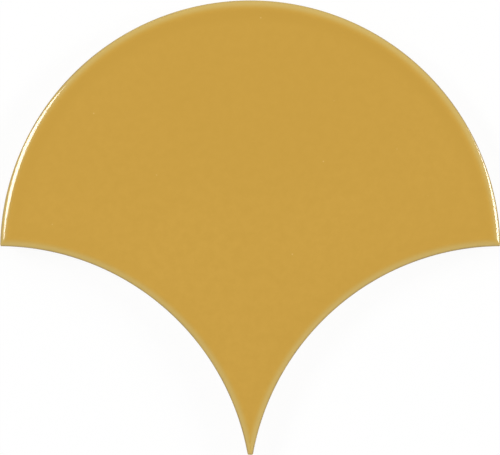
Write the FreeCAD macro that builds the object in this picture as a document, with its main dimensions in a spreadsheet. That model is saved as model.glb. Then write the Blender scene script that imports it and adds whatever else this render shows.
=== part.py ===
"""Fish scale wall tile: one piece of dry-pressed, glazed ceramic, lying glazed face up.

The outline is struck from three centres. The round head is an arc about the origin. Each hollow
flank is an arc about the head centre of the neighbour in the next row, wider by the joint. The tail
between the flanks is cut off blunt, where it would run out to a point. Every arc of the rim is
turned about its own centre, so the rolled glazed edge has one section all the way round, and the
two rolls meet in a ridge down the narrow tail. The sharp side tips are cut blunt at 45 degrees.
The back is pressed with a grid of shallow key recesses, which leaves ribs and a plain border to
bed on.

Frame, in millimetres: the origin is the centre of the head, on the plane of the back. +Z points
out of the glazed face, and the tail points along -Y.
"""

import FreeCAD, Part
import Sketcher
import math
import os

DIMENSIONS = (
    ("crown_radius", 60.0, "radius of the round head"),
    ("joint_width", 0.6, "gap that a flank leaves round the neighbour's head"),
    ("tip_rise", 1.05, "height of the side tips above the centre of the head"),
    ("tail_width", 1.27, "width of the blunt end of the tail"),
    ("tip_blunting", 0.2, "how much of the rim the blunt cut takes, each side of a side tip"),
    ("thickness", 9.0, "back to glazed face"),
    ("roll_width", 2.3, "width of the rolled edge, seen from the face"),
    ("cushion_radius", 4.6, "radius of the gentle inner part of the rolled edge"),
    ("shoulder_radius", 0.6, "radius of the tight outer part of the rolled edge"),
    ("wall_draft", 0.25, "how far the side wall leans in from the shoulder to the back"),
    ("back_chamfer", 0.5, "chamfer between the side wall and the back"),
    ("key_depth", 0.8, "depth of the recesses in the back"),
    ("key_margin", 5.0, "plain border between the outline and the recesses"),
    ("key_tail_margin", 21.0, "plain border between the end of the tail and the recesses"),
    ("key_pitch", 10.0, "spacing of the ribs between the recesses"),
    ("rib_width", 2.0, "width of a rib where it beds"),
    ("key_taper", 0.3, "how far each recess wall leans over its depth"),
)
CUTTER_OVERRUN = 5.0
PAST_THE_BLANK = f"(Dimensions.crown_radius + {CUTTER_OVERRUN})"

FLANK_RADIUS = "(Dimensions.crown_radius + Dimensions.joint_width)"
FLANK_ACROSS = "(Dimensions.crown_radius + Dimensions.joint_width / 2)"
FLANK_DOWN = f"({FLANK_RADIUS} - Dimensions.tip_rise)"
TAIL_ACROSS = f"({FLANK_ACROSS} - Dimensions.tail_width / 2)"
TAIL_LENGTH = f"({FLANK_DOWN} - sqrt({FLANK_RADIUS} ^ 2 - {TAIL_ACROSS} ^ 2))"
KEY_HEAD_RADIUS = "(Dimensions.crown_radius - Dimensions.key_margin)"
KEY_FLANK_RADIUS = f"({FLANK_RADIUS} + Dimensions.key_margin)"
KEY_REACH = f"({TAIL_LENGTH} - Dimensions.key_tail_margin)"
TIP_ACROSS = "sqrt(Dimensions.crown_radius ^ 2 - Dimensions.tip_rise ^ 2)"
TOWARDS_AXIS, AWAY_FROM_AXIS = -1, 1

SKETCH_AXIS = -1
ORIGIN = (SKETCH_AXIS, 1)
START, END, CENTRE = 1, 2, 3

doc = FreeCAD.newDocument("FishScaleTile")
sheet = doc.addObject("Spreadsheet::Sheet", "Dimensions")
for row, (alias, number, note) in enumerate(DIMENSIONS, start=1):
    sheet.set(f"A{row}", note)
    sheet.set(f"B{row}", str(number))
    sheet.setAlias(f"B{row}", alias)
doc.recompute()


def amount(expression):
    return float(sheet.evalExpression(expression))


def dimension(alias):
    return amount(f"Dimensions.{alias}")


def new_sketch(body, name, role):
    sketch = body.newObject("Sketcher::SketchObject", name)
    sketch.AttachmentSupport = [(origin_feature(body, role), "")]
    sketch.MapMode = "FlatFace"
    return sketch


def origin_feature(body, role):
    return next(item for item in body.Origin.OriginFeatures if item.Role == role)


def place_at_flank(sketch):
    sketch.setExpression("AttachmentOffset.Base.x", FLANK_ACROSS)
    sketch.setExpression("AttachmentOffset.Base.z", FLANK_DOWN)


def face_the_tail(sketch):
    """Turns a sketch on the YZ plane so that its first axis runs along the tail."""
    half_turn = FreeCAD.Rotation(FreeCAD.Vector(0, 1, 0), 180)
    sketch.AttachmentOffset = FreeCAD.Placement(FreeCAD.Vector(), half_turn)


def bind(sketch, kind, *where, to):
    """Adds a dimension to the sketch and ties it to an expression on the sheet."""
    index = sketch.addConstraint(Sketcher.Constraint(kind, *where, amount(to)))
    sketch.setExpression(f"Constraints[{index}]", to)


def constrain(sketch, *constraints):
    for constraint in constraints:
        sketch.addConstraint(Sketcher.Constraint(*constraint))


def draw_rim_section(sketch, reach, side, close="0"):
    """Draws the tile's edge in section, from an upright line at close to the rim.

    reach is the distance from the axis to the outermost line of the rim, and side is the way that
    the tile lies from there.
    """
    thick = dimension("thickness")
    cushion = dimension("cushion_radius")
    shoulder = dimension("shoulder_radius")
    run = dimension("roll_width") - shoulder
    lift = math.sqrt((cushion - shoulder) ** 2 - run**2)

    def point(depth, height):
        return FreeCAD.Vector(amount(reach) + side * depth, height, 0)

    heel = FreeCAD.Vector(amount(close), 0, 0)
    crest = FreeCAD.Vector(amount(close), thick, 0)
    wall_foot = point(dimension("wall_draft"), dimension("back_chamfer"))
    back_edge = point(dimension("wall_draft") + dimension("back_chamfer"), 0)
    shoulder_centre = point(shoulder, thick - cushion + lift)
    wall_head = point(0, shoulder_centre.y)
    cushion_centre = point(dimension("roll_width"), thick - cushion)
    face_edge = point(dimension("roll_width"), thick)

    meeting = math.atan2(lift, run)
    level, upright = 0.0, math.pi / 2
    if side == TOWARDS_AXIS:
        shoulder_span, cushion_span = (level, meeting), (meeting, upright)
        outer, inner = START, END
    else:
        shoulder_span, cushion_span = (math.pi - meeting, math.pi), (upright, math.pi - meeting)
        outer, inner = END, START
    up = FreeCAD.Vector(0, 0, 1)
    back, chamfer, wall, shoulder_arc, cushion_arc, face, end = sketch.addGeometry(
        [
            Part.LineSegment(heel, back_edge),
            Part.LineSegment(back_edge, wall_foot),
            Part.LineSegment(wall_foot, wall_head),
            Part.ArcOfCircle(Part.Circle(shoulder_centre, up, shoulder), *shoulder_span),
            Part.ArcOfCircle(Part.Circle(cushion_centre, up, cushion), *cushion_span),
            Part.LineSegment(face_edge, crest),
            Part.LineSegment(crest, heel),
        ]
    )
    constrain(
        sketch,
        ("Coincident", back, END, chamfer, START),
        ("Coincident", chamfer, END, wall, START),
        ("Tangent", wall, END, shoulder_arc, outer),
        ("Tangent", shoulder_arc, inner, cushion_arc, outer),
        ("Tangent", cushion_arc, inner, face, START),
        ("Coincident", face, END, end, START),
        ("Coincident", end, END, back, START),
        ("Horizontal", back),
        ("Horizontal", face),
        ("Vertical", end),
        ("PointOnObject", back, START, SKETCH_AXIS),
    )
    inwards = "+" if side == AWAY_FROM_AXIS else "-"
    foot_inset = "Dimensions.wall_draft"
    back_inset = "(Dimensions.wall_draft + Dimensions.back_chamfer)"
    bind(sketch, "DistanceX", *ORIGIN, back, START, to=close)
    bind(sketch, "DistanceX", *ORIGIN, back, END, to=f"{reach} {inwards} {back_inset}")
    bind(sketch, "DistanceX", *ORIGIN, wall, START, to=f"{reach} {inwards} {foot_inset}")
    bind(sketch, "DistanceY", *ORIGIN, wall, START, to="Dimensions.back_chamfer")
    bind(sketch, "DistanceY", *ORIGIN, face, START, to="Dimensions.thickness")
    for arc, radius, inset in (
        (shoulder_arc, "Dimensions.shoulder_radius", "Dimensions.shoulder_radius"),
        (cushion_arc, "Dimensions.cushion_radius", "Dimensions.roll_width"),
    ):
        bind(sketch, "Radius", arc, to=radius)
        bind(sketch, "DistanceX", *ORIGIN, arc, CENTRE, to=f"{reach} {inwards} {inset}")


def draw_leaning_block(sketch, near, near_lean, far, far_lean):
    """Draws a block as deep as the recesses, between two walls that lean over that depth."""
    depth = dimension("key_depth")
    corners = [
        FreeCAD.Vector(amount(near), 0, 0),
        FreeCAD.Vector(amount(far), 0, 0),
        FreeCAD.Vector(amount(f"{far} + {far_lean}"), depth, 0),
        FreeCAD.Vector(amount(f"{near} + {near_lean}"), depth, 0),
    ]
    edges = sketch.addGeometry(
        [Part.LineSegment(a, b) for a, b in zip(corners, corners[1:] + corners[:1])]
    )
    bed, _, floor, _ = edges
    for this, following in zip(edges, edges[1:] + edges[:1]):
        constrain(sketch, ("Coincident", this, END, following, START))
    constrain(
        sketch,
        ("Horizontal", bed),
        ("Horizontal", floor),
        ("PointOnObject", bed, START, SKETCH_AXIS),
    )
    bind(sketch, "DistanceY", *ORIGIN, floor, START, to="Dimensions.key_depth")
    bind(sketch, "DistanceX", *ORIGIN, bed, START, to=near)
    bind(sketch, "DistanceX", *ORIGIN, bed, END, to=far)
    bind(sketch, "DistanceX", *ORIGIN, floor, START, to=f"{far} + {far_lean}")
    bind(sketch, "DistanceX", *ORIGIN, floor, END, to=f"{near} + {near_lean}")


def draw_tip_cutter(sketch):
    """Draws a triangle in plan, whose long side runs at 45 degrees across the right side tip."""
    outside = f"({TIP_ACROSS} + {CUTTER_OVERRUN})"
    below = f"(Dimensions.tip_rise - {CUTTER_OVERRUN})"
    leg = f"(Dimensions.tip_blunting + 2 * {CUTTER_OVERRUN})"
    square_corner = FreeCAD.Vector(amount(outside), amount(below), 0)
    inner_corner = square_corner - FreeCAD.Vector(amount(leg), 0, 0)
    upper_corner = square_corner + FreeCAD.Vector(0, amount(leg), 0)
    bottom, side, cut = sketch.addGeometry(
        [
            Part.LineSegment(inner_corner, square_corner),
            Part.LineSegment(square_corner, upper_corner),
            Part.LineSegment(upper_corner, inner_corner),
        ]
    )
    constrain(
        sketch,
        ("Coincident", bottom, END, side, START),
        ("Coincident", side, END, cut, START),
        ("Coincident", cut, END, bottom, START),
        ("Horizontal", bottom),
        ("Vertical", side),
        ("Equal", bottom, side),
    )
    bind(sketch, "DistanceX", *ORIGIN, bottom, END, to=outside)
    bind(sketch, "DistanceY", *ORIGIN, bottom, END, to=below)
    bind(sketch, "Distance", bottom, to=leg)


def turn(body, kind, name, sketch):
    feature = body.newObject(kind, name)
    feature.Profile = (sketch, [""])
    feature.ReferenceAxis = (sketch, ["V_Axis"])
    feature.Angle = 360
    return feature


def mirror(body, name, feature):
    twin = body.newObject("PartDesign::Mirrored", name)
    twin.Originals = [feature]
    twin.MirrorPlane = (origin_feature(body, "YZ_Plane"), [""])
    body.Tip = twin


def cut_across(body, name, sketch):
    pocket = body.newObject("PartDesign::Pocket", name)
    pocket.Profile = (sketch, [""])
    pocket.SideType = "Symmetric"
    pocket.setExpression("Length", f"2 * ({TAIL_LENGTH} + Dimensions.crown_radius)")
    return pocket


def build_blank(body):
    """The tile with its rolled edge and a plain back."""
    head = new_sketch(body, "HeadSection", "XZ_Plane")
    draw_rim_section(head, "Dimensions.crown_radius", TOWARDS_AXIS)
    turn(body, "PartDesign::Revolution", "Head", head)

    flank = new_sketch(body, "FlankSection", "XZ_Plane")
    place_at_flank(flank)
    draw_rim_section(flank, FLANK_RADIUS, AWAY_FROM_AXIS)
    mirror(body, "LeftFlank", turn(body, "PartDesign::Groove", "RightFlank", flank))

    tail = new_sketch(body, "TailSection", "YZ_Plane")
    face_the_tail(tail)
    draw_rim_section(tail, TAIL_LENGTH, TOWARDS_AXIS, close=PAST_THE_BLANK)
    cut_across(body, "TailEnd", tail)

    tip = new_sketch(body, "TipCutter", "XY_Plane")
    draw_tip_cutter(tip)
    mirror(body, "LeftTip", cut_across(body, "RightTip", tip))


def build_punch(body):
    """The raised pads of the press punch, which leave the key recesses in the back."""
    body.AllowCompound = True
    lean = "Dimensions.key_taper"
    head = new_sketch(body, "PadHeadSection", "XZ_Plane")
    draw_leaning_block(head, "0", "0", KEY_HEAD_RADIUS, f"-{lean}")
    turn(body, "PartDesign::Revolution", "PadHead", head)

    flank = new_sketch(body, "PadFlankSection", "XZ_Plane")
    place_at_flank(flank)
    draw_leaning_block(flank, "0", "0", KEY_FLANK_RADIUS, lean)
    mirror(body, "PadLeftFlank", turn(body, "PartDesign::Groove", "PadRightFlank", flank))

    tail = new_sketch(body, "PadTailSection", "YZ_Plane")
    face_the_tail(tail)
    draw_leaning_block(tail, KEY_REACH, f"-{lean}", PAST_THE_BLANK, "0")
    cut_across(body, "PadTailEnd", tail)

    ribs_up = f"floor({KEY_HEAD_RADIUS} / Dimensions.key_pitch)"
    ribs_down = f"floor({KEY_REACH} / Dimensions.key_pitch)"
    cut_ribs(body, "Lengthwise", "XZ_Plane", ribs_up, ribs_up)
    cut_ribs(body, "Crosswise", "YZ_Plane", ribs_down, ribs_up)


def cut_ribs(body, name, role, ribs_before, ribs_after):
    """Cuts one set of slots for the ribs: one through the origin, and the rest either side."""
    first = f"-{ribs_before} * Dimensions.key_pitch"
    sketch = new_sketch(body, f"{name}RibSection", role)
    draw_leaning_block(
        sketch,
        f"{first} - Dimensions.rib_width / 2",
        "-Dimensions.key_taper",
        f"{first} + Dimensions.rib_width / 2",
        "Dimensions.key_taper",
    )
    slot = cut_across(body, f"{name}Rib", sketch)
    pattern = body.newObject("PartDesign::LinearPattern", f"{name}Ribs")
    pattern.Originals = [slot]
    pattern.Direction = (sketch, ["H_Axis"])
    pattern.Mode = "Spacing"
    pattern.setExpression("Offset", "Dimensions.key_pitch")
    pattern.setExpression("Occurrences", f"{ribs_before} + {ribs_after} + 1")
    body.Tip = pattern


def check_features(body):
    """Stops the build where a feature failed, or where a cut took nothing away."""
    features = [item for item in body.Group if item.isDerivedFrom("PartDesign::Feature")]
    for before, after in zip(features, features[1:]):
        if after.Shape.isNull() or after.Shape.Volume >= before.Shape.Volume:
            raise RuntimeError(f"{after.Name} takes nothing away")


tile = doc.addObject("PartDesign::Body", "Tile")
tile.Label = "fish_scale_tile"
build_blank(tile)

punch = doc.addObject("PartDesign::Body", "Punch")
build_punch(punch)
pressing = tile.newObject("PartDesign::Boolean", "KeyedBack")
pressing.Type = "Cut"
pressing.setObjects([punch])
tile.Tip = pressing
doc.recompute()

failed = [item.Name for item in doc.Objects if {"Invalid", "Error"} & set(item.State)]
if failed:
    raise RuntimeError(f"failed features: {failed}")
check_features(punch)
check_features(tile)
if tile.Shape.isNull() or not tile.Shape.isValid() or len(tile.Shape.Solids) != 1:
    raise RuntimeError("the tile is not one sound solid")

os.makedirs("parts", exist_ok=True)
tile.Shape.exportStep(f"parts/{tile.Label}.step")
print(f"{tile.Label}: {tile.Shape.Volume:.1f} mm3, {len(tile.Shape.Faces)} faces")
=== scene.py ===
"""Dresses the fish scale tile: its glazed face and rim, its bare pressed back, and the stage."""

import math

import bmesh
import bpy
from bpy.props import FloatProperty, FloatVectorProperty, IntProperty, PointerProperty
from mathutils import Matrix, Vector, noise


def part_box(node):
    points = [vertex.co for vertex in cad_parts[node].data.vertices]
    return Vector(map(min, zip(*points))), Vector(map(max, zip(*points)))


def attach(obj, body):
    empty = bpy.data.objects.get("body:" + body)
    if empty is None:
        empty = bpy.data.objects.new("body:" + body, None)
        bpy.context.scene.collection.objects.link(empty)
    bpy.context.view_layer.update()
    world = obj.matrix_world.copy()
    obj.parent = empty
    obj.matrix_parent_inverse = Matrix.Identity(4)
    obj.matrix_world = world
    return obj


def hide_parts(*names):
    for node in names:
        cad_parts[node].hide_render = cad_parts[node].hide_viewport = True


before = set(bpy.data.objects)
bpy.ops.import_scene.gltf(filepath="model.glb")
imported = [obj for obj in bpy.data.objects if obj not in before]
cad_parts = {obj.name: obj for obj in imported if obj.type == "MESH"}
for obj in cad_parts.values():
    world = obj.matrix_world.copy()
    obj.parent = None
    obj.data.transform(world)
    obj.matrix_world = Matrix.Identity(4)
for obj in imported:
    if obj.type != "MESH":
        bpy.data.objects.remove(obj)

bl_info = {
    "name": "Fish scale tile",
    "version": (1, 0, 0),
    "blender": (4, 5, 0),
    "location": "View3D > Sidebar > Fish scale tile",
    "description": "Builds a glazed fish scale wall tile and a plain stage for its picture",
    "category": "Object",
}

NODE = "fish_scale_tile"
MM = 0.001
CAD_LOW, CAD_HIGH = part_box(NODE)

# What a face of the mesh is part of
WALL, BORDER, BACK, FACE = range(4)

MERGE_DISTANCE = 0.0005 * MM
CUT_TOLERANCE = 0.0001 * MM

# Stands for far above the glaze's lower edge and, with a minus, for far below it
FAR_OVER_LINE = 6 * MM

# How rare the drips are, from 0 to 1, and what makes the longest ones about a drip length long
DRIP_RARITY = 0.15
DRIP_GAIN = 2

# Depths in from the rim between which the waves of the face grow
WAVES_GROW = (1.5 * MM, 6 * MM)

# Depths in from the rim between which a tint of the glaze comes in or fades
# The first pair fades the edge's brown wear and painted shade of the shoulder
WEAR_AND_SHADE_FADES = (0.1 * MM, 0.42 * MM)
THIN_FADES = (0.4 * MM, 2.2 * MM)
POOL_COMES = (1.8 * MM, 2.8 * MM)
POOL_FADES = (3.5 * MM, 6.0 * MM)

# Heights over the glaze's lower edge between which it covers the clay, and thickens
GLAZE_COVERS = (0.0, 0.05 * MM)
GLAZE_THICKENS = (0.1 * MM, 1.6 * MM)

# Heights from the head of the wall between which the finish of the face comes in
FACE_COMES = (-0.5 * MM, 0.15 * MM)

# Places along the tile between which the edge's wear and painted shade fade at the crown, and the
# pooling grows
CROWN = (42 * MM, 57 * MM)
LENGTHWISE = (-20 * MM, 55 * MM)

# Heights between which the wash on the ribs fades
WASH_FADES = (0.02 * MM, 0.12 * MM)

# Relief that only the materials show
GLAZE_RIPPLE = 0.0004 * MM
GRAIN_HEIGHT = 0.035 * MM
PIT_DEPTH = 0.06 * MM

# Noise values that a cloud stretches from 0 to 1, and the share of a fleck that isn't faded
CLOUD_RANGE = (0.28, 0.72)
FLECK_CORE = 0.4

# Heights in the studio, from -1 straight down to 1 straight up, between which its parts blend
GROUND_FADES = (-0.1, -0.02)
WALLS_BRIGHTEN = (0.05, 0.5)
CEILING_COMES = (0.78, 0.985)

# Each softbox's place and size in metres, and its turn in degrees from hanging level
SOFTBOXES = {
    "softbox_left": {
        "place": (-1.005, 0.405, 1.18),
        "turn": (31, 31, -153),
        "size": (0.4, 0.72),
    },
    "softbox_right": {
        "place": (1.845, 0.6, 1.2),
        "turn": (0, 0, -45),
        "size": (0.5, 1.8),
    },
}

# Point inside the tile from which the faces of the floor fan out
FLOOR_MIDDLE = Vector((0, 10 * MM))


def length(name, description, default):
    """A size in metres, which the sidebar shows in the scene's units."""
    return FloatProperty(
        name=name,
        description=description,
        default=default,
        precision=5,
        subtype="DISTANCE",
        unit="LENGTH",
    )


def share(name, description, default):
    """A slider from 0 to 1."""
    return FloatProperty(
        name=name, description=description, default=default, min=0, max=1, subtype="FACTOR"
    )


def color(name, description, default):
    """A linear colour."""
    return FloatVectorProperty(
        name=name, description=description, default=default, min=0, max=1, subtype="COLOR"
    )


class TileShape(bpy.types.PropertyGroup):
    head_radius: length("Head radius", "Radius of the round head", CAD_HIGH.y)
    joint_width: length("Joint", "Gap that a flank leaves round its neighbour", 0.6 * MM)
    tip_rise: length("Tip rise", "Height of the side tips above the head's centre", 1.05 * MM)
    tail_length: length("Tail length", "Head's centre to the end of the tail", -CAD_LOW.y)
    thickness: length("Thickness", "Back to glazed face", CAD_HIGH.z)
    corner_radius: length("Corner radius", "Rounding of the side tips and the tail", 0.4 * MM)
    roll_width: length("Roll width", "Width of the rolled edge from above", 2.3 * MM)
    cushion_radius: length("Cushion radius", "Gentle inner part of the rolled edge", 4.6 * MM)
    shoulder_radius: length("Shoulder radius", "Tight outer part of the rolled edge", 0.6 * MM)
    hip_softness: length("Hip softness", "How far glaze rounds the line of two rolls", 0.4 * MM)
    wall_draft: length("Wall draft", "How far the side wall leans in to the back", 0.25 * MM)
    back_chamfer: length("Back chamfer", "Chamfer between the wall and the back", 0.5 * MM)
    head_steps: IntProperty(name="Head steps", description="Spans of half the head", default=150)
    flank_steps: IntProperty(name="Flank steps", description="Spans of a flank", default=136)


class GlazeFinish(bpy.types.PropertyGroup):
    line_height: length("Line height", "Mean height of the glaze's lower edge", 4.3 * MM)
    line_wander: length("Line wander", "How far that edge wanders up and down", 0.9 * MM)
    drip_length: length("Drip length", "How far the longest drips run below it", 0.9 * MM)
    lip: length("Lip", "How far the glaze stands proud of the bare wall", 0.12 * MM)
    dip_place: length("Dip place", "Rim to the middle of the dip behind the roll", 3.7 * MM)
    dip_width: length("Dip width", "Spread of that dip", 0.9 * MM)
    dip_depth: length("Dip depth", "Depth of that dip", 0.03 * MM)
    wave_height: length("Wave height", "Height of the face's slow waves", 0.035 * MM)
    wave_length: length("Wave length", "Length of the face's slow waves", 24 * MM)
    face_color: color("Face", "Glaze on the flat face", (0.63, 0.370, 0.063))
    deep_color: color("Pooled", "Glaze where it pools behind the roll", (0.582, 0.338, 0.053))
    thin_color: color("Thin", "Glaze drawn thin over the rolled edge", (0.60, 0.415, 0.100))
    # Edge: partly glaze that breaks thin over the shoulder, partly painted shade of the steep
    # shoulder
    edge_wear_and_shade_color: color("Edge", "Glaze that breaks over the shoulder", (0.38, 0.255, 0.08))
    fleck_color: color("Fleck", "Tiny pale flecks in the glaze", (0.78, 0.56, 0.20))
    roughness: share("Roughness", "Roughness of the glaze", 0.1)
    side_roughness: share("Side roughness", "Roughness over the edge and down the wall", 0.32)
    refraction: FloatProperty(name="Refraction", description="Index of the glaze", default=1.65)


class BackPattern(bpy.types.PropertyGroup):
    margin: length("Margin", "Plain border round the recesses", 5.0 * MM)
    tail_margin: length("Tail margin", "Plain border at the end of the tail", 21.0 * MM)
    pitch: length("Pitch", "Spacing of the ribs", 10.0 * MM)
    rib_width: length("Rib width", "Width of a rib where it beds", 2.0 * MM)
    depth: length("Depth", "Depth of the recesses", 0.8 * MM)
    taper: length("Taper", "How far a recess wall leans over its depth", 0.3 * MM)
    edge_radius: length("Edge radius", "Rounding of the pressed edges", 0.14 * MM)
    smallest_recess: FloatProperty(
        name="Smallest recess", description="Area of the smallest recess", default=9 * MM * MM
    )
    clay_color: color("Clay", "Bare fired clay", (0.64, 0.50, 0.345))
    pale_color: color("Wash", "Pale kiln wash rubbed on the ribs", (0.82, 0.74, 0.61))
    # Grit: real dark grit in the clay, and also the painted shade in the pits
    grit_and_pit_shade_color: color("Grit", "Darker grit in the clay", (0.40, 0.28, 0.19))
    roughness: share("Roughness", "Roughness of the bare clay", 0.88)


class StageSettings(bpy.types.PropertyGroup):
    view_width: length("View width", "Width that the picture spans", 119.73 * MM)
    view_x: length("View X", "Middle of the picture across", -0.07 * MM)
    view_y: length("View Y", "Middle of the picture along", 5.54 * MM)
    camera_height: length("Camera height", "Camera above the glazed face", 1.2)
    floor_reach: length("Floor reach", "Middle of the floor to its edge", 3.0)
    floor_drop: length("Floor drop", "Hairline between the floor and the tile", 0.02 * MM)
    floor_opening: length("Floor opening", "Rim of the tile to the opening under it", 0.8 * MM)
    floor_tone: share("Floor tone", "Brightness of the floor's own colour", 0.95)
    floor_glow: share("Floor glow", "Share of plain white that the camera sees there", 0.93)
    zenith_tone: share("Zenith tone", "Brightness of the studio overhead", 0.1)
    wall_tone: share("Wall tone", "Brightness of the studio's walls", 0.6)
    horizon_tone: share("Horizon tone", "Brightness of the walls near the floor", 0.28)
    lamp_radiance: FloatProperty(
        name="Softbox brightness", description="Brightness of each softbox", default=13.0, min=0
    )


class Outline:
    """The rim in plan at any depth in from the edge: head, hollow flanks and a blunt tail."""

    TIP_STEPS = 6
    TAIL_CORNER_STEPS = 5
    TAIL_END_STEPS = 2

    # A hip softens by this share of the depth past the rounded corners, or not at all if too little
    HIP_GROWTH = 0.25
    LEAST_SOFTNESS = 0.0005 * MM

    def __init__(self, shape):
        self.head = shape.head_radius
        self.flank = shape.head_radius + shape.joint_width
        self.flank_centre = Vector(
            (shape.head_radius + shape.joint_width / 2, shape.tip_rise - self.flank)
        )
        self.tail = shape.tail_length
        self.corner = shape.corner_radius
        self.head_steps = shape.head_steps
        self.flank_steps = shape.flank_steps

    def tip(self, depth):
        """Where the head and the right flank meet, both moved in by depth."""
        across, up = self.flank_centre
        reach = self.flank_centre.length
        head, flank = self.head - depth, self.flank + depth
        along = (head**2 - flank**2 + reach**2) / (2 * reach)
        aside = math.sqrt(head**2 - along**2)
        return Vector((along * across - aside * up, along * up + aside * across)) / reach

    def tail_corner(self, depth):
        """Where the right flank meets the tail's end or else the left flank, moved in by depth."""
        across, up = self.flank_centre
        flank = self.flank + depth
        end = depth - self.tail
        x = across - math.sqrt(flank**2 - (end - up) ** 2)
        if x > 0:
            return Vector((x, end))
        return Vector((0, up + math.sqrt(flank**2 - across**2)))

    def right_half(self, depth):
        """Points down the right side, from the top of the head to the middle of the tail's end."""
        bend = max(self.corner - depth, 0)
        tip = self.tip(max(self.corner, depth))
        tail = self.tail_corner(max(self.corner, depth))
        head, flank = self.head - depth, self.flank + depth
        centre = self.flank_centre
        tip_start = math.atan2(*tip.yx)
        tip_end = math.atan2(*(centre - tip).yx)
        tail_start = math.atan2(*(centre - tail).yx)
        flank_start = math.pi + tip_end
        flank_end = math.pi + tail_start
        end = Vector((tail.x, tail.y - bend))
        middle = Vector((0, end.y))
        steps = self.TAIL_END_STEPS
        return (
            arc(Vector((0, 0)), head, math.pi / 2, tip_start, self.head_steps)
            + arc(tip, bend, tip_start, tip_end, self.TIP_STEPS)
            + arc(centre, flank, flank_start, flank_end, self.flank_steps)
            + arc(tail, bend, tail_start, -math.pi / 2, self.TAIL_CORNER_STEPS)
            + [end.lerp(middle, i / steps) for i in range(steps + 1)]
        )

    def ring(self, depth):
        """The whole closed line, clockwise from the top of the head."""
        right = self.right_half(depth)
        left = [Vector((-point.x, point.y)) for point in reversed(right[1:-1])]
        return right + left

    def depths(self, point):
        """How far in from the head, the nearer flank and the tail's end a point lies."""
        flank = (Vector((abs(point.x), point.y)) - self.flank_centre).length - self.flank
        return self.head - point.length, flank, self.tail + point.y

    def soft_depth(self, point, hip_softness):
        """Depth in from the rim, eased where two rolls meet so that the glaze rounds their hip."""
        depths = self.depths(point)
        nearest = min(depths)
        softness = min(self.HIP_GROWTH * (nearest - self.corner), hip_softness)
        if softness <= self.LEAST_SOFTNESS:
            return nearest
        near = sum(math.exp((nearest - depth) / softness) for depth in depths)
        return nearest - softness * math.log(near)


def arc(centre, radius, start, end, steps):
    """Points along an arc, without its last one."""
    turns = (start + (end - start) * i / steps for i in range(steps))
    return [centre + radius * Vector((math.cos(turn), math.sin(turn))) for turn in turns]


class RimProfile:
    """The section of the rim: the leaning wall, the tight shoulder and the gentle cushion."""

    def __init__(self, shape):
        self.thickness = shape.thickness
        self.roll = shape.roll_width
        self.cushion = shape.cushion_radius
        self.shoulder = shape.shoulder_radius
        self.draft = shape.wall_draft
        self.foot = shape.back_chamfer
        run = self.roll - self.shoulder
        lift = math.sqrt((self.cushion - self.shoulder) ** 2 - run**2)
        self.meeting = math.atan2(lift, run)
        self.wall_head = self.thickness - self.cushion + lift
        self.shoulder_width = self.shoulder * (1 - math.cos(self.meeting))

    def height(self, depth):
        """Height of the rolled edge at a depth in from the rim."""
        depth = max(depth, 0)
        if depth >= self.roll:
            return self.thickness
        if depth > self.shoulder_width:
            inwards = self.roll - depth
            return self.thickness - self.cushion + math.sqrt(self.cushion**2 - inwards**2)
        return self.wall_head + math.sqrt(self.shoulder**2 - (self.shoulder - depth) ** 2)

    def wall_depth(self, height):
        """How far the side wall has leaned in at a height."""
        return self.draft * (self.wall_head - height) / (self.wall_head - self.foot)

    def roll_depths(self, shoulder_steps, cushion_steps):
        """Depths of the rings over the roll, at even turns of its two arcs."""
        tight = [
            self.shoulder * (1 - math.cos(self.meeting * i / shoulder_steps))
            for i in range(shoulder_steps)
        ]
        sweep = math.pi / 2 - self.meeting
        gentle = [
            self.roll - self.cushion * math.cos(self.meeting + sweep * i / cushion_steps)
            for i in range(cushion_steps + 1)
        ]
        return tight + gentle


def wander(point, size, seed, strength=1.0):
    """Smooth noise in plan, which swings about zero and has features of a size."""
    place = Vector((point.x, point.y, 0)) / size + Vector((seed, seed, seed))
    return strength * noise.noise(place)


def glaze_line(glaze, point):
    """Height of the glaze's lower edge on the side wall, with its wander and drips."""
    slow = wander(point, size=17 * MM, seed=0.3, strength=0.8)
    quick = wander(point, size=5 * MM, seed=9.4, strength=0.3)
    drip = max(wander(point, size=7 * MM, seed=5.7) - DRIP_RARITY, 0)
    line = glaze.line_height + glaze.line_wander * (slow + quick)
    return line - glaze.drip_length * DRIP_GAIN * drip


def ease(value, low, high):
    """From 0 at low to 1 at high, with soft ends."""
    ratio = min(max((value - low) / (high - low), 0), 1)
    return ratio * ratio * (3 - 2 * ratio)


def face_drop(glaze, depth, point):
    """How far the glazed face lies below its highest level: a dip behind the roll, and waves."""
    dip = math.exp(-(((depth - glaze.dip_place) / glaze.dip_width) ** 2))
    slow = wander(point, size=glaze.wave_length, seed=0.6)
    quick = wander(point, size=glaze.wave_length / 3, seed=4.1, strength=0.2)
    wave = min(max(0.5 + 0.5 * (slow + quick), 0), 1)
    return glaze.dip_depth * dip + glaze.wave_height * wave * ease(depth, *WAVES_GROW)


def evenly(reach, pitch):
    """Places that lie a pitch apart, on both sides of zero and within the reach."""
    count = math.floor(reach / pitch)
    return [step * pitch for step in range(-count, count + 1)]


def grid_cuts(across, along, height):
    """Upright cuts as (place, normal): first those across the tile, then those along it."""
    cuts = [((place, 0, height), (1, 0, 0)) for place in across]
    return cuts + [((0, place, height), (0, 1, 0)) for place in along]


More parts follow.
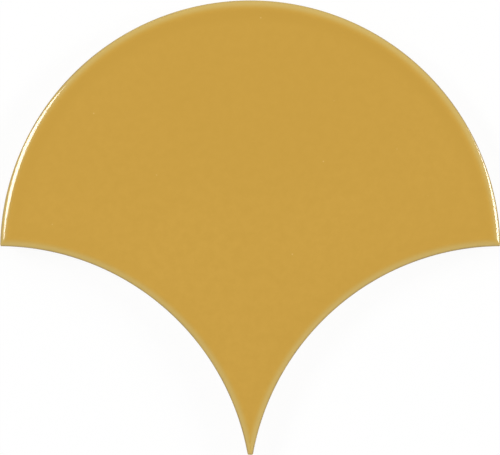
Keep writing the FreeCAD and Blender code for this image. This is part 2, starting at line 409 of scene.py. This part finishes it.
class TileMesh:
    """Builds the tile ring by ring, from the border of the back out, up and over to the face."""

    FOOT_SOFTNESS = 0.12 * MM

    # Where a softened edge of the foot ends, and where its middle lies, as shares of its softness
    SOFT_END = 0.7
    SOFT_MIDDLE = (0.07, 0.18)

    # Rings of the bare wall and of the glazed one, as shares of the way up
    BARE_SHARES = (0.0, 0.3, 0.6, 0.85, 1.0)
    GLAZED_SHARES = (0.35, 0.7)

    # Heights over the glaze's lower edge, and how much of the lip the glaze still lacks there
    LIP_SECTION = (
        (0.04 * MM, 0.5),
        (0.11 * MM, 0.12),
        (0.20 * MM, 0.0),
        (0.35 * MM, 0.0),
        (0.60 * MM, 0.15),
        (1.00 * MM, 0.25),
    )
    SHOULDER_STEPS = 14
    CUSHION_STEPS = 14
    FACE_DEPTHS = (2.7 * MM, 3.1 * MM, 3.5 * MM, 3.9 * MM, 4.4 * MM, 5 * MM, 6 * MM, 7.5 * MM)
    FACE_GRID = 2.5 * MM

    # Beside the recesses the border keeps every fourth corner, but none this near to a rib
    CORNER_PITCH = 4
    RIB_CLEARANCE = 1.2 * MM

    def __init__(self, shape, glaze, back):
        self.shape, self.glaze, self.back = shape, glaze, back
        self.outline = Outline(shape)
        self.profile = RimProfile(shape)
        self.rim = self.outline.ring(0)
        self.inner_rim = self.outline.ring(shape.corner_radius)
        self.bm = bmesh.new()
        self.station = self.bm.verts.layers.int.new("station")
        self.over_line = self.bm.verts.layers.float.new("over_glaze_line")
        self.rim_depth = self.bm.verts.layers.float.new("rim_depth")
        self.part = self.bm.faces.layers.int.new("part")

    def build(self):
        """The finished bmesh, with the layers that the material reads."""
        ring = self.start(self.back.margin)
        ring = self.build_foot(ring)
        ring = self.build_wall(ring)
        self.build_roll(ring)
        bmesh.ops.remove_doubles(self.bm, verts=self.bm.verts, dist=MERGE_DISTANCE)
        self.fill_face()
        self.fill_back()
        bmesh.ops.recalc_face_normals(self.bm, faces=self.bm.faces)
        self.check()
        return self.bm

    def start(self, depth):
        """Makes the first ring, flat on the back."""
        points = self.outline.ring(depth)
        made = bmesh.ops.create_circle(
            self.bm, cap_ends=False, segments=len(points), radius=self.shape.head_radius
        )
        for index, vertex in enumerate(made["verts"]):
            vertex[self.station] = index
            vertex.co = points[index].to_3d()
            vertex[self.over_line] = -FAR_OVER_LINE
        return list(self.bm.edges)

    def extrude(self, ring, place, part):
        """Extrudes the last ring, and moves each new vertex to where place puts its station."""
        made = bmesh.ops.extrude_edge_only(self.bm, edges=ring)["geom"]
        new_ring = []
        for item in made:
            if isinstance(item, bmesh.types.BMVert):
                place(item, item[self.station])
            elif isinstance(item, bmesh.types.BMFace):
                item[self.part] = part
            elif item.is_boundary:
                new_ring.append(item)
        return new_ring

    def flat_ring(self, ring, depth, height, over_line, part=WALL):
        """Adds a ring at one depth and one height."""
        points = self.outline.ring(depth)

        def place(vertex, station):
            vertex.co = (*points[station], height)
            vertex[self.over_line] = over_line

        return self.extrude(ring, place, part)

    def wall_ring(self, ring, height_at, inset):
        """Adds a ring on the side wall, at a height worked out from the glaze line there."""

        def place(vertex, station):
            line = glaze_line(self.glaze, self.rim[station])
            height = height_at(line)
            depth = self.profile.wall_depth(height) + inset
            # The depth differs from station to station, so the place lies between two ready rings
            plan = self.rim[station].lerp(self.inner_rim[station], depth / self.outline.corner)
            vertex.co = (*plan, height)
            vertex[self.over_line] = height - line

        return self.extrude(ring, place, WALL)

    def build_foot(self, ring):
        """The plain border of the back and the chamfer round it, with softened edges."""
        foot, soft = self.shape.back_chamfer, self.FOOT_SOFTNESS
        bare = self.shape.wall_draft + self.glaze.lip
        end = self.SOFT_END * soft
        past, off = (ratio * soft for ratio in self.SOFT_MIDDLE)
        back_edge = ((foot + past, off), (foot - end, end))
        wall_edge = ((end, foot - end), (off, foot + past))
        ring = self.flat_ring(ring, bare + foot + soft, 0, -FAR_OVER_LINE, BORDER)
        for depth, height in (*back_edge, *wall_edge):
            ring = self.flat_ring(ring, bare + depth, height, -FAR_OVER_LINE)
        return ring

    def build_wall(self, ring):
        """The bare wall, the rolled lip of the glaze, and the glazed wall up to the shoulder."""
        low, lip = self.shape.back_chamfer + self.FOOT_SOFTNESS, self.glaze.lip
        for climbed in self.BARE_SHARES:
            ring = self.wall_ring(ring, lambda line: low + (line - low) * climbed, lip)
        for rise, lack in self.LIP_SECTION:
            ring = self.wall_ring(ring, lambda line: line + rise, lack * lip)
        top = self.profile.wall_head
        lip_rise, lip_lack = self.LIP_SECTION[-1]
        for climbed in self.GLAZED_SHARES:
            ring = self.wall_ring(
                ring,
                lambda line: line + lip_rise + (top - line - lip_rise) * climbed,
                lip_lack * lip * (1 - climbed),
            )
        return ring

    def build_roll(self, ring):
        """Rings over the roll and its neighbourhood, flat at first, at the head of the wall."""
        depths = self.profile.roll_depths(self.SHOULDER_STEPS, self.CUSHION_STEPS)
        for depth in (*depths, *self.FACE_DEPTHS):
            ring = self.flat_ring(ring, depth, self.profile.wall_head, FAR_OVER_LINE)

    def faces_of(self, part):
        """The faces that are marked as one part."""
        return [face for face in self.bm.faces if face[self.part] == part]

    def fill(self, low, high, part, cuts):
        """Closes the open ring between two heights, and cuts the new face up."""
        ring = [
            edge
            for edge in self.bm.edges
            if edge.is_boundary and low <= edge.verts[0].co.z <= high
        ]
        made = bmesh.ops.contextual_create(self.bm, geom=ring)
        for face in made["faces"]:
            face[self.part] = part
        for place, normal in cuts:
            faces = self.faces_of(part)
            edges = [edge for face in faces for edge in face.edges]
            corners = [vertex for face in faces for vertex in face.verts]
            bmesh.ops.bisect_plane(
                self.bm,
                geom=list(dict.fromkeys([*faces, *edges, *corners])),
                dist=CUT_TOLERANCE,
                plane_co=place,
                plane_no=normal,
            )

    def fill_face(self):
        """Closes the face with a square grid, and lifts it and the roll to their heights."""
        level = self.profile.wall_head - CUT_TOLERANCE
        places = evenly(self.shape.head_radius, self.FACE_GRID)
        self.fill(level, self.shape.thickness, FACE, grid_cuts(places, places, level))
        for vertex in self.bm.verts:
            if vertex.co.z < level:
                continue
            point = vertex.co.xy
            depth = self.outline.soft_depth(point, self.shape.hip_softness)
            vertex[self.rim_depth] = max(min(self.outline.depths(point)), 0)
            vertex[self.over_line] = FAR_OVER_LINE
            vertex.co.z = self.profile.height(depth) - face_drop(self.glaze, depth, point)

    def fill_back(self):
        """Closes the back, cuts it along the ribs, and presses the recesses in."""
        back = self.back
        ribs = evenly(self.shape.head_radius, back.pitch)
        sides = [rib + side * back.rib_width / 2 for rib in ribs for side in (-1, 1)]
        tail_line = back.tail_margin - self.shape.tail_length
        cuts = grid_cuts(sides, [*sides, tail_line], 0)
        self.fill(-CUT_TOLERANCE, CUT_TOLERANCE, BACK, cuts)
        self.thin_border()
        self.press([face for face in self.faces_of(BACK) if self.is_bed(face, tail_line)])

    def is_bed(self, face, tail_line):
        """Whether a face lies between the ribs, above the tail, and is large enough to press."""
        back = self.back
        middle = face.calc_center_bounds()
        off_ribs = all(
            abs(place - round(place / back.pitch) * back.pitch) > back.rib_width / 2
            for place in middle.xy
        )
        return off_ribs and middle.y > tail_line and face.calc_area() > back.smallest_recess

    def thin_border(self):
        """Drops most corners beside the recesses, where the edges are too short to be rounded."""
        rib_ends, corners = [], []
        for vertex in self.bm.verts:
            parts = [face[self.part] for face in vertex.link_faces]
            if BORDER in parts and BACK in parts:
                # A corner joins two faces of the border, and a rib's end lies on the edge of one
                group = corners if parts.count(BORDER) == 2 else rib_ends
                group.append(vertex)
        spare = []
        for corner in corners:
            near_rib = any((corner.co - end.co).length < self.RIB_CLEARANCE for end in rib_ends)
            if near_rib or corner[self.station] % self.CORNER_PITCH:
                spare += [
                    edge
                    for edge in corner.link_edges
                    if all(face[self.part] == BORDER for face in edge.link_faces)
                ]
        bmesh.ops.dissolve_edges(self.bm, edges=spare, use_verts=True)

    def press(self, beds):
        """Presses the recesses in with leaning walls, and rounds the edges of each."""
        back = self.back
        bmesh.ops.recalc_face_normals(self.bm, faces=self.bm.faces)
        rims = [list(face.edges) for face in beds]
        bmesh.ops.inset_individual(
            self.bm, faces=beds, thickness=back.taper, depth=-back.depth, use_even_offset=True
        )
        for face in self.bm.faces:
            face.smooth = face[self.part] not in (BORDER, BACK)
        # The edges of all recesses are listed first, because a bevel changes the mesh
        pressed = [[*rim, *face.edges] for rim, face in zip(rims, beds)]
        for edges in pressed:
            rounded = bmesh.ops.bevel(
                self.bm,
                geom=edges,
                offset=back.edge_radius,
                offset_type="OFFSET",
                segments=2,
                profile=0.5,
                affect="EDGES",
                clamp_overlap=True,
                material=-1,
            )
            for face in rounded["faces"]:
                face.smooth = True

    def check(self):
        """Stops the script where the tile isn't one closed skin."""
        loose = [edge for edge in self.bm.edges if not edge.is_manifold]
        if loose:
            place = loose[0].verts[0].co / MM
            raise RuntimeError(f"{len(loose)} open edges in the tile, the first near {place}")


def new_node(tree, kind, inputs=None, **settings):
    """Adds a shader node, sets it up, and links or sets its inputs."""
    node = tree.nodes.new(kind)
    for name, value in settings.items():
        setattr(node, name, value)
    for name, value in (inputs or {}).items():
        if isinstance(value, bpy.types.NodeSocket):
            tree.links.new(value, node.inputs[name])
        else:
            node.inputs[name].default_value = value
    return node


def remap(tree, value, low, high, to_low=0.0, to_high=1.0):
    """A value eased from one range to another, and held at its ends."""
    inputs = {"Value": value, "From Min": low, "From Max": high, "To Min": to_low, "To Max": to_high}
    node = new_node(tree, "ShaderNodeMapRange", inputs, interpolation_type="SMOOTHSTEP")
    return node.outputs["Result"]


def fade(tree, value, low, high):
    """1 where a value is low, eased down to 0 where it is high."""
    return remap(tree, value, low, high, to_low=1.0, to_high=0.0)


def math_node(tree, operation, first, second):
    """The result of an operation on two values."""
    return new_node(tree, "ShaderNodeMath", {0: first, 1: second}, operation=operation).outputs[0]


def product(tree, first, second):
    """Two values multiplied."""
    return math_node(tree, "MULTIPLY", first, second)


def color_input(value):
    """A socket as it is, and a plain colour with the alpha that a node's input asks for."""
    return value if isinstance(value, bpy.types.NodeSocket) else (*value, 1)


def blend(tree, amount, first, second, strength=None):
    """Two colours mixed by an amount, which a strength can hold back."""
    if strength is not None:
        amount = product(tree, amount, strength)
    # The colours of a Mix node are its inputs 6 and 7, and its output 2
    inputs = {0: amount, 6: color_input(first), 7: color_input(second)}
    return new_node(tree, "ShaderNodeMix", inputs, data_type="RGBA").outputs[2]


def blend_values(tree, amount, first, second):
    """Two plain values mixed by an amount."""
    inputs = {0: amount, 2: first, 3: second}
    return new_node(tree, "ShaderNodeMix", inputs, data_type="FLOAT").outputs[0]


def attribute(tree, name):
    """A layer of the mesh, read as a plain value."""
    return new_node(tree, "ShaderNodeAttribute", attribute_name=name).outputs["Fac"]


def pattern_group(name, defaults):
    """An empty node group that takes a place and named values, and gives out an amount."""
    tree = bpy.data.node_groups.new(name, "ShaderNodeTree")
    tree.interface.new_socket("Place", in_out="INPUT", socket_type="NodeSocketVector")
    for label, default in defaults.items():
        socket = tree.interface.new_socket(label, in_out="INPUT", socket_type="NodeSocketFloat")
        socket.default_value = default
    tree.interface.new_socket("Amount", in_out="OUTPUT", socket_type="NodeSocketFloat")
    given = tree.nodes.new("NodeGroupInput").outputs
    wanted = tree.nodes.new("NodeGroupOutput").inputs
    return tree, given, wanted


def cloud_group():
    """Soft mottling from 0 to 1, with finer mottling in it."""
    tree, given, wanted = pattern_group("Cloud", {"Size": 10 * MM, "Detail": 3.0})
    scale = math_node(tree, "DIVIDE", 1.0, given["Size"])
    cloud = new_node(
        tree,
        "ShaderNodeTexNoise",
        {"Vector": given["Place"], "Scale": scale, "Detail": given["Detail"], "Roughness": 0.7},
    )
    tree.links.new(remap(tree, cloud.outputs["Fac"], *CLOUD_RANGE), wanted["Amount"])
    return tree


def fleck_group():
    """Sparse round flecks: a share of the cells of the given spacing have one."""
    defaults = {"Spacing": 10 * MM, "Radius": 0.2 * MM, "Share": 0.3}
    tree, given, wanted = pattern_group("Flecks", defaults)
    scale = math_node(tree, "DIVIDE", 1.0, given["Spacing"])
    cells = new_node(tree, "ShaderNodeTexVoronoi", {"Vector": given["Place"], "Scale": scale})
    apart = product(tree, cells.outputs["Distance"], given["Spacing"])
    core = product(tree, given["Radius"], FLECK_CORE)
    inside = fade(tree, apart, core, given["Radius"])
    tone = new_node(tree, "ShaderNodeSeparateColor", {0: cells.outputs["Color"]}).outputs[0]
    picked = math_node(tree, "LESS_THAN", tone, given["Share"])
    tree.links.new(product(tree, inside, picked), wanted["Amount"])
    return tree


class TileSurface:
    """What the tile's finishes read at each point, and the patterns that they share."""

    def __init__(self, tree, wall_head):
        self.tree = tree
        self.place = new_node(tree, "ShaderNodeTexCoord").outputs["Object"]
        split = new_node(tree, "ShaderNodeSeparateXYZ", {0: self.place})
        self.along, self.height = split.outputs["Y"], split.outputs["Z"]
        self.over_line = attribute(tree, "over_glaze_line")
        self.rim_depth = attribute(tree, "rim_depth")
        low, high = (wall_head + step for step in FACE_COMES)
        self.on_face = remap(tree, self.height, low, high)
        self.groups = {"cloud": cloud_group(), "flecks": fleck_group()}

    def pattern(self, kind, **values):
        """A pattern over the tile, from a node group with its inputs set to the values."""
        inputs = {name.title(): value for name, value in values.items()}
        inputs["Place"] = self.place
        node = new_node(self.tree, "ShaderNodeGroup", inputs, node_tree=self.groups[kind])
        return node.outputs["Amount"]


def tile_material(glaze, back, wall_head):
    """One material for the whole tile: glossy glaze above its line, and bare clay below it."""
    material = bpy.data.materials.new("mustard_glaze_over_fired_clay")
    material.use_nodes = True
    tree = material.node_tree
    surface = TileSurface(tree, wall_head)
    glaze_tint, glaze_roughness, glaze_height = glaze_finish(surface, glaze)
    clay_tint, clay_height = clay_finish(surface, back)

    glazed = remap(tree, surface.over_line, *GLAZE_COVERS)
    tint = blend(tree, glazed, clay_tint, glaze_tint)
    roughness = blend_values(tree, glazed, back.roughness, glaze_roughness)
    relief = blend_values(tree, glazed, clay_height, glaze_height)
    bump = new_node(tree, "ShaderNodeBump", {"Height": relief, "Strength": 1.0, "Distance": 1.0})

    shader = tree.nodes["Principled BSDF"]
    tree.links.new(tint, shader.inputs["Base Color"])
    tree.links.new(roughness, shader.inputs["Roughness"])
    tree.links.new(bump.outputs["Normal"], shader.inputs["Normal"])
    shader.inputs["IOR"].default_value = glaze.refraction
    return material


def glaze_finish(surface, glaze):
    """The glaze's tint, roughness and relief, duller over the edge and down the wall."""
    tree = surface.tree
    wear_and_shade = edge_wear_and_shade(surface)
    roughness = blend_values(tree, wear_and_shade, glaze.roughness, glaze.side_roughness)
    roughness = blend_values(tree, surface.on_face, glaze.side_roughness, roughness)
    ripple = surface.pattern("cloud", size=2.4 * MM, detail=0.0)
    return glaze_tint(surface, glaze, wear_and_shade), roughness, product(tree, ripple, GLAZE_RIPPLE)


def edge_wear_and_shade(surface):
    """How far the glaze breaks over the shoulder, together with painted shade of the steep shoulder:
    unevenly, and less at the crown.
    """
    tree = surface.tree
    patches = surface.pattern("cloud", size=6 * MM, detail=3.0)
    uneven = remap(tree, patches, 0.0, 1.0, to_low=0.55)
    # Less of the edge's wear and painted shade at the crown
    off_crown = remap(tree, surface.along, *CROWN, to_low=1.0, to_high=0.5)
    near_rim = product(tree, fade(tree, surface.rim_depth, *WEAR_AND_SHADE_FADES), surface.on_face)
    return product(tree, product(tree, near_rim, uneven), off_crown)


def glaze_tint(surface, glaze, wear_and_shade):
    """The glaze's colour: paler where it is thin, deeper where it pools, and brown over the edge,
    partly as glaze breaking and partly as painted shade.
    """
    tree, deep = surface.tree, glaze.deep_color
    broad = surface.pattern("cloud", size=30 * MM, detail=1.0)
    fine = surface.pattern("cloud", size=2.2 * MM, detail=5.0)
    flecks = surface.pattern("flecks", spacing=2.5 * MM, radius=0.24 * MM, share=0.05)
    towards_head = remap(tree, surface.along, *LENGTHWISE, to_low=0.25, to_high=1.1)
    pool_edge = remap(tree, surface.rim_depth, *POOL_COMES)
    pool_end = fade(tree, surface.rim_depth, *POOL_FADES)
    pooled = product(tree, product(tree, pool_edge, pool_end), towards_head)
    drawn = product(tree, fade(tree, surface.rim_depth, *THIN_FADES), surface.on_face)
    run_out = remap(tree, surface.over_line, *GLAZE_THICKENS, to_low=0.6, to_high=0.0)
    thin = math_node(tree, "MAXIMUM", drawn, run_out)

    tint = blend(tree, broad, glaze.face_color, deep, strength=0.3)
    tint = blend(tree, fine, tint, deep, strength=0.75)
    tint = blend(tree, towards_head, tint, deep, strength=0.45)
    tint = blend(tree, pooled, tint, deep)
    tint = blend(tree, thin, tint, glaze.thin_color)
    # Brown over the shoulder: worn glaze and painted shade of the steep shoulder
    tint = blend(tree, wear_and_shade, tint, glaze.edge_wear_and_shade_color)
    return blend(tree, flecks, tint, glaze.fleck_color, strength=0.55)


def clay_finish(surface, back):
    """The bare clay's tint and relief: fine grain, dark grit, small pits darkened as painted shade,
    and pale wash on the ribs.
    """
    tree = surface.tree
    grain = surface.pattern("cloud", size=0.45 * MM, detail=3.0)
    patches = surface.pattern("cloud", size=9 * MM, detail=4.0)
    pits = surface.pattern("flecks", spacing=1.3 * MM, radius=0.22 * MM, share=0.5)
    grit = surface.pattern("flecks", spacing=1.9 * MM, radius=0.16 * MM, share=0.4)
    wash = product(tree, fade(tree, surface.height, *WASH_FADES), patches)

    tint = blend(tree, grain, back.clay_color, back.pale_color, strength=0.35)
    tint = blend(tree, wash, tint, back.pale_color, strength=0.8)
    tint = blend(tree, grit, tint, back.grit_and_pit_shade_color, strength=0.7)
    # Painted shade in the sunk pits, in the grit's colour
    tint = blend(tree, pits, tint, back.grit_and_pit_shade_color, strength=0.45)
    raised = product(tree, grain, GRAIN_HEIGHT)
    sunk = product(tree, pits, -PIT_DEPTH)
    return tint, math_node(tree, "ADD", raised, sunk)


def mix_shaders(tree, amount, first, second):
    """Two shader nodes mixed by an amount."""
    inputs = {0: amount, 1: first.outputs[0], 2: second.outputs[0]}
    return new_node(tree, "ShaderNodeMixShader", inputs)


def floor_material(stage):
    """Pale floor: near white with the tile's soft shadow for the camera, and clear from below."""
    material = bpy.data.materials.new("pale_floor")
    material.use_nodes = True
    tree = material.node_tree
    tree.nodes.remove(tree.nodes["Principled BSDF"])
    tone = stage.floor_tone
    matte = new_node(tree, "ShaderNodeBsdfDiffuse", {"Color": (tone, tone, tone, 1)})
    white = new_node(tree, "ShaderNodeEmission", {"Color": (1, 1, 1, 1), "Strength": 1.0})
    clear = new_node(tree, "ShaderNodeBsdfTransparent")
    seen = new_node(tree, "ShaderNodeLightPath").outputs["Is Camera Ray"]
    below = new_node(tree, "ShaderNodeNewGeometry").outputs["Backfacing"]
    top = mix_shaders(tree, product(tree, seen, stage.floor_glow), matte, white)
    whole = mix_shaders(tree, product(tree, seen, below), top, clear)
    tree.links.new(whole.outputs[0], tree.nodes["Material Output"].inputs["Surface"])
    return material


def studio_world(stage):
    """A studio that is dark overhead, pale at its walls and lit below, on white for the camera."""
    world = bpy.data.worlds.new("studio")
    world.use_nodes = True
    tree = world.node_tree
    direction = new_node(tree, "ShaderNodeTexCoord").outputs["Generated"]
    up = new_node(tree, "ShaderNodeSeparateXYZ", {0: direction}).outputs["Z"]
    walls = remap(tree, up, *WALLS_BRIGHTEN, to_low=stage.horizon_tone, to_high=stage.wall_tone)
    ceiling = remap(tree, up, *CEILING_COMES)
    above = blend_values(tree, ceiling, walls, stage.zenith_tone)
    ground = fade(tree, up, *GROUND_FADES)
    tone = blend_values(tree, ground, above, 1.0)
    seen = new_node(tree, "ShaderNodeLightPath").outputs["Is Camera Ray"]
    strength = blend_values(tree, seen, tone, 1.0)
    tree.links.new(strength, tree.nodes["Background"].inputs["Strength"])
    tree.nodes["Background"].inputs["Color"].default_value = (1, 1, 1, 1)
    return world


def finish_mesh(name, bm):
    """Turns a bmesh into a mesh, and frees it."""
    mesh = bpy.data.meshes.new(name)
    bm.to_mesh(mesh)
    bm.free()
    return mesh


def add_object(name, data):
    """Puts a new object into the scene, at the origin."""
    item = bpy.data.objects.new(name, data)
    bpy.context.scene.collection.objects.link(item)
    return item


def build_floor(shape, stage):
    """A wide floor round an opening under the tile, so that its back can be seen from below."""
    rim = Outline(shape).ring(stage.floor_opening)
    bm = bmesh.new()
    bmesh.ops.create_circle(bm, cap_ends=False, segments=len(rim), radius=shape.head_radius)
    inner = list(bm.verts)
    made = bmesh.ops.extrude_edge_only(bm, edges=list(bm.edges))["geom"]
    outer = [item for item in made if isinstance(item, bmesh.types.BMVert)]
    for near, far, point in zip(inner, outer, rim):
        near.co = (*point, -stage.floor_drop)
        outwards = (point - FLOOR_MIDDLE).normalized()
        far.co = (*(FLOOR_MIDDLE + outwards * stage.floor_reach), -stage.floor_drop)
    bmesh.ops.remove_doubles(bm, verts=bm.verts, dist=MERGE_DISTANCE)
    if sum(face.normal.z for face in bm.faces) < 0:
        bmesh.ops.reverse_faces(bm, faces=bm.faces)
    return finish_mesh("floor", bm)


def add_softbox(name, radiance, place, turn, size):
    """A softbox that lights the tile, turned by its angles in degrees from hanging level."""
    lamp = bpy.data.lights.new(name, "AREA")
    lamp.shape = "RECTANGLE"
    lamp.size, lamp.size_y = size
    lamp.energy = radiance * math.pi * lamp.size * lamp.size_y
    softbox = add_object(name, lamp)
    softbox.location = place
    softbox.rotation_euler = [math.radians(angle) for angle in turn]


def add_camera(stage, face_height):
    """A camera that looks straight down, with its picture's width set at the glazed face."""
    camera = bpy.data.cameras.new("camera")
    camera.lens = camera.sensor_width * stage.camera_height / stage.view_width
    viewer = add_object("camera", camera)
    viewer.location = (stage.view_x, stage.view_y, face_height + stage.camera_height)
    return viewer


class FISHSCALE_OT_tile(bpy.types.Operator):
    """Builds the glazed tile over its solid"""

    bl_idname = "fishscale.tile"
    bl_label = "Glazed tile"

    def execute(self, context):
        scene = context.scene
        builder = TileMesh(scene.tile_shape, scene.tile_glaze, scene.tile_back)
        tile = add_object("glazed_tile", finish_mesh("glazed_tile", builder.build()))
        wall_head = builder.profile.wall_head
        tile.data.materials.append(tile_material(scene.tile_glaze, scene.tile_back, wall_head))
        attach(tile, "root")
        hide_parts(NODE)
        return {"FINISHED"}


class FISHSCALE_OT_stage(bpy.types.Operator):
    """Sets the floor, the studio, the softboxes and the camera"""

    bl_idname = "fishscale.stage"
    bl_label = "Stage"

    def execute(self, context):
        scene, stage = context.scene, context.scene.tile_stage
        floor = add_object("floor", build_floor(scene.tile_shape, stage))
        floor.data.materials.append(floor_material(stage))
        scene.world = studio_world(stage)
        for name, settings in SOFTBOXES.items():
            add_softbox(name, stage.lamp_radiance, **settings)
        scene.camera = add_camera(stage, scene.tile_shape.thickness)
        scene.view_settings.view_transform = "Standard"
        return {"FINISHED"}


class FISHSCALE_PT_panel(bpy.types.Panel):
    bl_label = "Fish scale tile"
    bl_idname = "FISHSCALE_PT_panel"
    bl_space_type = "VIEW_3D"
    bl_region_type = "UI"
    bl_category = "Fish scale tile"

    def draw(self, context):
        for name in SETTINGS:
            group = getattr(context.scene, name)
            box = self.layout.box()
            for setting in group.__annotations__:
                box.prop(group, setting)
        for operator in OPERATORS:
            self.layout.operator(operator.bl_idname)


SETTINGS = {
    "tile_shape": TileShape,
    "tile_glaze": GlazeFinish,
    "tile_back": BackPattern,
    "tile_stage": StageSettings,
}
OPERATORS = (FISHSCALE_OT_tile, FISHSCALE_OT_stage)
CLASSES = (*SETTINGS.values(), *OPERATORS, FISHSCALE_PT_panel)


def register():
    for item in CLASSES:
        bpy.utils.register_class(item)
    for name, group in SETTINGS.items():
        setattr(bpy.types.Scene, name, PointerProperty(type=group))


def unregister():
    for name in SETTINGS:
        delattr(bpy.types.Scene, name)
    for item in reversed(CLASSES):
        bpy.utils.unregister_class(item)


def main():
    register()
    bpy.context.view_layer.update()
    bpy.ops.fishscale.tile()
    bpy.ops.fishscale.stage()


if __name__ == "__main__":
    main()
